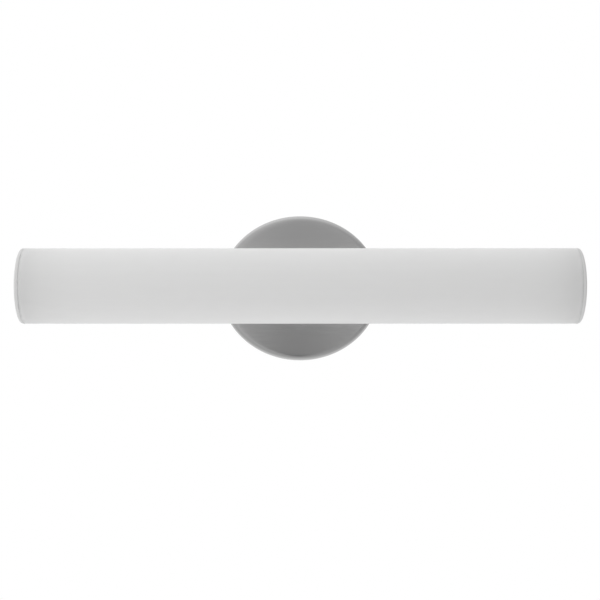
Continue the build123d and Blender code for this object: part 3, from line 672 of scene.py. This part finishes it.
def solder_mask(name, dark, light, track):
    """Board lacquer: copper tracks 3 mm wide along the board stand a little proud and show in its colour."""
    material, place = open_finish(name)
    tracks = ramp(waves_of(part_of(place, "Z"), TRACK_PITCH), 0.35, 0.45)
    orange_peel = grain(place, 700.0, 2.0)
    colour = tint(tracks, tint(orange_peel, dark, light), track)
    sockets = {"Base Color": colour, "Roughness": 0.3 + orange_peel * 0.15}
    return close_finish(material, place, sockets, tracks + orange_peel * 0.2, relief=0.00003)


white_board = solder_mask(
    "white_board", dark=(0.80, 0.81, 0.79), light=(0.85, 0.86, 0.84), track=(0.87, 0.86, 0.82)
)
dress(mill_aluminium("mill_aluminium"), "spine")
dress(white_board, "led_board")
dress(zinc, "board_screws")
dress(nylon, "board_connector")

# LEDs: 48 white moulded packages in a row along the board, soldered to its tracks. The window of each is
# filled with yellow phosphor in silicone.


def phosphor_silicone(name):
    """Phosphor in clear silicone: yellow grains in a glossy pool."""
    material, place = open_finish(name)
    grains = grain(place, 5200.0)
    colour = tint(grains, (0.80, 0.55, 0.08), (0.90, 0.74, 0.25))
    sockets = {"Base Color": colour, "Roughness": 0.16 + grains * 0.12}
    return close_finish(material, place, sockets, grains, relief=0.00001)


led_white = moulded("led_package", (0.84, 0.84, 0.82), (0.90, 0.90, 0.88), roughness=0.35, texture=3500.0)
dress(led_white, "led_housings")
dress(phosphor_silicone("phosphor_silicone"), "led_phosphors")

# Driver: a closed white plastic box stuck behind the canopy's face with a foam pad. Its green board carries a
# transformer wound with yellow tape and two capacitors in black sleeves.
PAD_BULGE = 0.0001
PAD_ROWS = 9
PAD_END_PLACE = 0.985
PAD_END_SHARE = 0.93
TAPE_PITCH = 0.0012


def foam_pad(name, node):
    """The section of a foam strip, square to X, carried along a pad's length. It keeps its size to near the
    ends, is drawn in a little at the ends themselves, and closes there to the middle."""
    low, high = corners(node)
    size, middle = high - low, (high + low) / 2
    outline = foam_section(size[2], size[1], PAD_BULGE)
    inner = np.linspace(-PAD_END_PLACE, PAD_END_PLACE, PAD_ROWS)
    place = np.concatenate([[-1.0, -1.0], inner, [1.0, 1.0]])[:, None]
    share = np.concatenate([[0.0, PAD_END_SHARE], np.ones(PAD_ROWS), [PAD_END_SHARE, 0.0]])[:, None]
    x = middle[0] + place * size[0] / 2 + 0 * outline[:, 0]
    points = [x, middle[1] + share * outline[:, 1], middle[2] + share * outline[:, 0]]
    return grid_mesh(name, np.stack(points, axis=-1))


def add_pad(node):
    """Puts a foam pad in a node's place."""
    pad = add_piece(foam_pad(node + "_foam", node), foam, "fixture", "black_foam", node)


def winding_tape(name):
    """Polyester tape: glossy yellow, wound in turns whose edges show every 1.2 mm."""
    material, place = open_finish(name)
    turns = ramp(waves_of(part_of(place, "Y"), TAPE_PITCH), 0.0, 0.2)
    wrinkles = grain(place, (500.0, 120.0, 500.0))
    colour = tint(turns * 0.5 + wrinkles * 0.5, (0.60, 0.42, 0.04), (0.84, 0.66, 0.12))
    sockets = {"Base Color": colour, "Roughness": 0.2 + wrinkles * 0.2}
    return close_finish(material, place, sockets, turns, relief=0.00005)


def shrink_sleeve(name):
    """Black shrink sleeve over a can: a tight gloss with faint draw lines."""
    material, place = open_finish(name)
    lines = grain(place, (900.0, 60.0, 900.0))
    colour = tint(lines, (0.02, 0.02, 0.024), (0.06, 0.06, 0.07))
    sockets = {"Base Color": colour, "Roughness": 0.26 + lines * 0.2}
    return close_finish(material, place, sockets, lines, relief=0.00002)


add_pad("driver_pad")
driver_white = moulded(
    "driver_plastic", (0.76, 0.76, 0.75), (0.83, 0.83, 0.82), roughness=0.44, texture=1100.0
)
green_board = solder_mask(
    "green_board", dark=(0.03, 0.17, 0.07), light=(0.06, 0.25, 0.12), track=(0.10, 0.33, 0.16)
)
dress(driver_white, "driver_case", "driver_cover")
dress(green_board, "driver_board")
dress(winding_tape("winding_tape"), "driver_transformer")
dress(shrink_sleeve("shrink_sleeve"), "driver_capacitors")

# Terminal block: a natural nylon body on a foam pad, with three brass sleeves, each clamped by two slotted
# steel screws. The earth stud, its nut and its crimped lug stand beside it on the canopy.


def turned_metal(name, dark, light):
    """Bright turned metal with fine tool marks and a little tarnish."""
    material, place = open_finish(name)
    marks = grain(place, (1500.0, 4200.0, 1500.0))
    tarnish = grain(place, 210.0)
    colour = tint(tarnish * 0.7 + marks * 0.3, dark, light)
    sockets = {"Base Color": colour, "Roughness": 0.2 + tarnish * 0.18, "Metallic": 1.0}
    return close_finish(material, place, sockets, marks, relief=0.000008)


add_pad("terminal_pad")
brass = turned_metal("turned_brass", dark=(0.58, 0.42, 0.17), light=(0.80, 0.62, 0.31))
tin = turned_metal("tin_plate", dark=(0.56, 0.56, 0.57), light=(0.74, 0.74, 0.75))
dress(nylon, "terminal_block")
dress(brass, "terminal_sleeves", "earth_stud", "earth_nut")
dress(zinc, "terminal_screws")
dress(tin, "earth_lug")

# Leads: stranded copper in plain extruded insulation, coloured by use. They run in easy bends between the
# driver, the terminal block, the earth stud and, through the nipple, the LED board.


def insulation(name, dark, light):
    """Extruded insulation: a waxy gloss with faint waves and rub marks."""
    material, place = open_finish(name)
    rubs = grain(place, 330.0)
    colour = tint(rubs * 0.6 + grain(place, 90.0) * 0.4, dark, light)
    sockets = {"Base Color": colour, "Roughness": 0.3 + rubs * 0.2}
    return close_finish(material, place, sockets, rubs, relief=0.00003)


black_wire = insulation("black_insulation", dark=(0.015, 0.015, 0.016), light=(0.04, 0.04, 0.042))
white_wire = insulation("white_insulation", dark=(0.74, 0.74, 0.72), light=(0.82, 0.82, 0.81))
green_wire = insulation("green_insulation", dark=(0.02, 0.24, 0.06), light=(0.05, 0.34, 0.10))
red_wire = insulation("red_insulation", dark=(0.40, 0.015, 0.015), light=(0.54, 0.03, 0.03))
dress(black_wire, "live_lead", "led_lead_negative")
dress(white_wire, "neutral_lead")
dress(green_wire, "earth_lead")
dress(red_wire, "led_lead_positive")

# Lock screws: one at each side, turned from steel and nickel plated, with a knurled head, a hexagon socket, a
# fine thread and a slim tip that enters the fork of the side tab. A thin nylon washer is captive under each
# head.
LOCK_PITCH = 0.0007
LOCK_THREAD = 0.55 * LOCK_PITCH
LOCK_COLUMNS = 168
KNURLS = 28
KNURL_DEPTH = 0.0003
HEAD_LENGTH = 0.005
HEAD_CHAMFER = 0.0006
TIP_RADIUS = 0.0015
TIP_LENGTH = 0.004
TIP_CHAMFER = 0.3 * TIP_RADIUS
SHANK_RADIUS = 0.00195
UNDERCUT_RADIUS = 0.8 * SHANK_RADIUS
THREAD_END = 0.0001
SOCKET_CORNER = 0.002
SOCKET_RING = 1.1 * SOCKET_CORNER
SOCKET_DEPTH = 0.0025
PLAIN, THREADED, KNURLED, HEXAGON = range(4)


def lock_screw_grid(side):
    """Screw turned about an axis along X. Each row has a place along the axis, a radius and a form. Threaded
    and knurled rows take zigzag waves off their radius, and the socket's rows follow a hexagon."""
    tip, end = lock_low[0], lock_high[0]
    seat, shoulder = end - HEAD_LENGTH, tip + TIP_LENGTH
    head, socket_floor = lock_high[2], end - SOCKET_DEPTH
    coil = np.arange(shoulder + THREAD_END, seat - THREAD_END, LOCK_PITCH / THREAD_ROWS)[:, None]
    rows = np.concatenate([
        [[tip, 0, PLAIN], [tip, TIP_RADIUS - TIP_CHAMFER, PLAIN], [tip + TIP_CHAMFER, TIP_RADIUS, PLAIN]],
        [[shoulder - THREAD_END, TIP_RADIUS, PLAIN], [shoulder, TIP_RADIUS, PLAIN]],
        coil * [1, 0, 0] + [0, SHANK_RADIUS, THREADED],
        [[seat, UNDERCUT_RADIUS, PLAIN], [seat, head - HEAD_CHAMFER, PLAIN]],
        [[seat + HEAD_CHAMFER, head, KNURLED], [end - HEAD_CHAMFER, head, KNURLED]],
        [[end, head - HEAD_CHAMFER, PLAIN], [end, SOCKET_RING, PLAIN], [end, SOCKET_CORNER, HEXAGON]],
        [[socket_floor, SOCKET_CORNER, HEXAGON], [socket_floor, 0, PLAIN]],
    ])
    turn = np.linspace(0.0, 2 * pi, LOCK_COLUMNS + 1)[None, :]
    x, radius, form = (column[:, None] for column in rows.T)
    radius = radius - (form == THREADED) * LOCK_THREAD * zigzag(x / LOCK_PITCH - turn / (2 * pi))
    radius = radius - (form == KNURLED) * KNURL_DEPTH * zigzag(KNURLS * turn / (2 * pi))
    hexagon = np.cos(pi / 6) / np.cos(turn % (pi / 3) - pi / 6)
    radius = radius * np.where(form == HEXAGON, hexagon, 1.0)
    points = [side * x + 0.0 * turn, radius * np.cos(turn) - lock_out, radius * np.sin(turn)]
    return np.stack(points, axis=-1)


screw_nickel = turned_metal("screw_nickel", dark=(0.46, 0.46, 0.46), light=(0.58, 0.58, 0.575))
for side, sign in SIDES.items():
    screw_mesh = grid_mesh("knurled_screw_" + side, lock_screw_grid(sign))
    add_piece(screw_mesh, screw_nickel, "lock_screw_" + side, "brushed_nickel", "lock_screw_" + side)
    dress(nylon, "lock_screw_washer_" + side)

# Floor: a round of pale paint well under the light. It takes the soft shadow, turns white to the camera
# further out, is a grey that pales to the back in mirrors, and is clear from below.
FLOOR_DROP = 0.33
FLOOR_RADIUS = 0.9
FLOOR_STEPS = 96
FLOOR_RINGS = 2
SHADOW_FADE = (0.46, 0.68)
MIRROR_FADE = (-0.6, 0.2)


def floor_grid():
    """Rings about the upright axis through the light, level and facing up."""
    turn = np.linspace(2 * pi, 0.0, FLOOR_STEPS + 1)[None, :]
    reach = np.linspace(0.0, FLOOR_RADIUS, FLOOR_RINGS + 1)[:, None]
    level = cad_box[0][2] - FLOOR_DROP + 0 * reach * turn
    return np.stack([reach * np.cos(turn), reach * np.sin(turn), level], axis=-1)


def ray_kinds(value):
    """Two values: 1 for a ray from the camera, also through clear things, and 1 for a ray from a mirror."""
    names = ("Is Camera Ray", "Is Transmission Ray", "Is Glossy Ray")
    camera_ray, clear_ray, glossy_ray = (value.node("LightPath", {}, {}, name) for name in names)
    return camera_ray + clear_ray, glossy_ray


def floor_paint(name):
    """Matt white paint that glows a little, with the changes that the section's opening lines give."""
    material, place = open_finish(name)
    distance = place.node("VectorMath", {"operation": "LENGTH"}, {0: place}, "Value")
    seen, mirrored = ray_kinds(place)
    matt = place.node("BsdfDiffuse", {}, {"Color": (0.95, 0.95, 0.95, 1.0)})
    # painted light: a faint even glow of the floor's own, which lights the object from below
    floor_glow = place.node("Emission", {}, {"Color": (0.1, 0.1, 0.1, 1.0)})
    white = place.node("Emission", {}, {"Color": (1.0, 1.0, 1.0, 1.0)})
    grey = place.node("Emission", {}, {"Color": 0.5 + 0.5 * ramp(part_of(place, "Y"), *MIRROR_FADE)})
    clear = place.node("BsdfTransparent", {}, {})
    from_below = place.node("NewGeometry", {}, {}, "Backfacing")
    paint = place.node("AddShader", {}, {0: matt, 1: floor_glow})
    paint = place.node("MixShader", {}, {0: ramp(distance, *SHADOW_FADE) * seen, 1: paint, 2: white})
    paint = place.node("MixShader", {}, {0: mirrored, 1: paint, 2: grey})
    paint = place.node("MixShader", {}, {0: from_below, 1: paint, 2: clear})
    place.node("OutputMaterial", {}, {"Surface": paint})
    return material


floor_mesh = grid_mesh("studio_floor", floor_grid(), closed=False)
floor_mesh.materials.append(floor_paint("floor_paint"))
floor = bpy.data.objects.new("studio_floor", floor_mesh)
bpy.context.scene.collection.objects.link(floor)

# Studio: soft light from all round, paler above, below, at the back and to the left. Round the camera it has
# a faint glow that leans left, and from there down a narrow dark gap. The camera sees plain white, and so
# does a mirror that looks well to the back.
FRONT_LEVEL = 0.48
BACK_LEVEL = 0.88
BACK_FADE = (-0.8, 0.6)
WHITE_FADE = (0.2, 0.7)
RISE = 0.02
BOWL = 0.54
LEFT_LEAN = 0.30
GLOW_LEVEL = 0.165
GLOW_LEAN = 1.4
GLOW_NARROWNESS = 20.0
GAP_DEPTH = 0.52
GAP_MIDDLE = -0.010
GAP_WIDTH = 0.040
GAP_TOP = 0.09

world = bpy.data.worlds.new("soft_studio")
world.use_nodes = True
world.node_tree.nodes.clear()
bpy.context.scene.world = world
look = Shade(world.node_tree).node("TexCoord", {}, {}, "Generated")
look_x, look_y, look_z = (part_of(look, axis) for axis in "XYZ")
behind = ramp(look_y, *BACK_FADE)
glow = e ** ((look_x * look_x + look_z * look_z) * -GLOW_NARROWNESS) * (GLOW_LEVEL - look_x * GLOW_LEAN)
gap_side = (look_x - GAP_MIDDLE) / GAP_WIDTH
gap = e ** (gap_side * gap_side * -1.0) * ramp(look_z, GAP_TOP, 0.0) * (1.0 - behind)
front = FRONT_LEVEL + look_z * RISE + look_z * look_z * BOWL + glow - gap * GAP_DEPTH
studio = (front * (1.0 - behind) + behind * BACK_LEVEL) * (1.0 - look_x * LEFT_LEAN)
seen, mirrored = ray_kinds(look)
plain = seen + mirrored * ramp(look_y, *WHITE_FADE)
plain = plain.math("MINIMUM", plain, 1.0)
sky = look.node("Background", {}, {"Color": studio * (1.0 - plain) + plain})
look.node("OutputWorld", {}, {"Surface": sky})

# Soft box: one large square lamp high at the front left, aimed at the tube. It shades the white plastic from
# left to right and casts the soft shadow, and the metal doesn't mirror it.
LAMP_SIZE = 1.4
LAMP_POWER = 3.6
LAMP_PLACE = (-0.8, -0.75, 0.45)

lamp_data = bpy.data.lights.new("soft_box", "AREA")
lamp_data.shape = "RECTANGLE"
lamp_data.size = LAMP_SIZE
lamp_data.size_y = LAMP_SIZE
lamp_data.energy = LAMP_POWER
lamp = bpy.data.objects.new("soft_box", lamp_data)
lamp.visible_glossy = False
lamp.location = LAMP_PLACE
aim = Vector((0.0, -axis_out, 0.0)) - lamp.location
lamp.rotation_euler = aim.to_track_quat("-Z", "Y").to_euler()
bpy.context.scene.collection.objects.link(lamp)

# Camera: almost square on and a little below the tube, as far off as the bulge of the tube's ends tells. Its
# pitch and turn are in degrees, and the shift brings the light back to the middle after the slight turn.
CAMERA_DISTANCE = 1.027
CAMERA_DROP = 0.0394
CAMERA_PITCH = 1.556
CAMERA_TURN = 0.3
CAMERA_LENS = 75.15
CAMERA_SHIFT = 0.0109

camera_data = bpy.data.cameras.new("photo_camera")
camera_data.lens = CAMERA_LENS
camera_data.shift_x = CAMERA_SHIFT
camera_data.sensor_width = 36.0
camera_data.clip_end = 100.0
camera = bpy.data.objects.new("photo_camera", camera_data)
camera.location = (0.0, -axis_out - CAMERA_DISTANCE, -CAMERA_DROP)
camera.rotation_euler = (radians(90 + CAMERA_PITCH), 0.0, radians(CAMERA_TURN))
bpy.context.scene.collection.objects.link(camera)
bpy.context.scene.camera = camera
bpy.context.scene.view_settings.view_transform = "Standard"
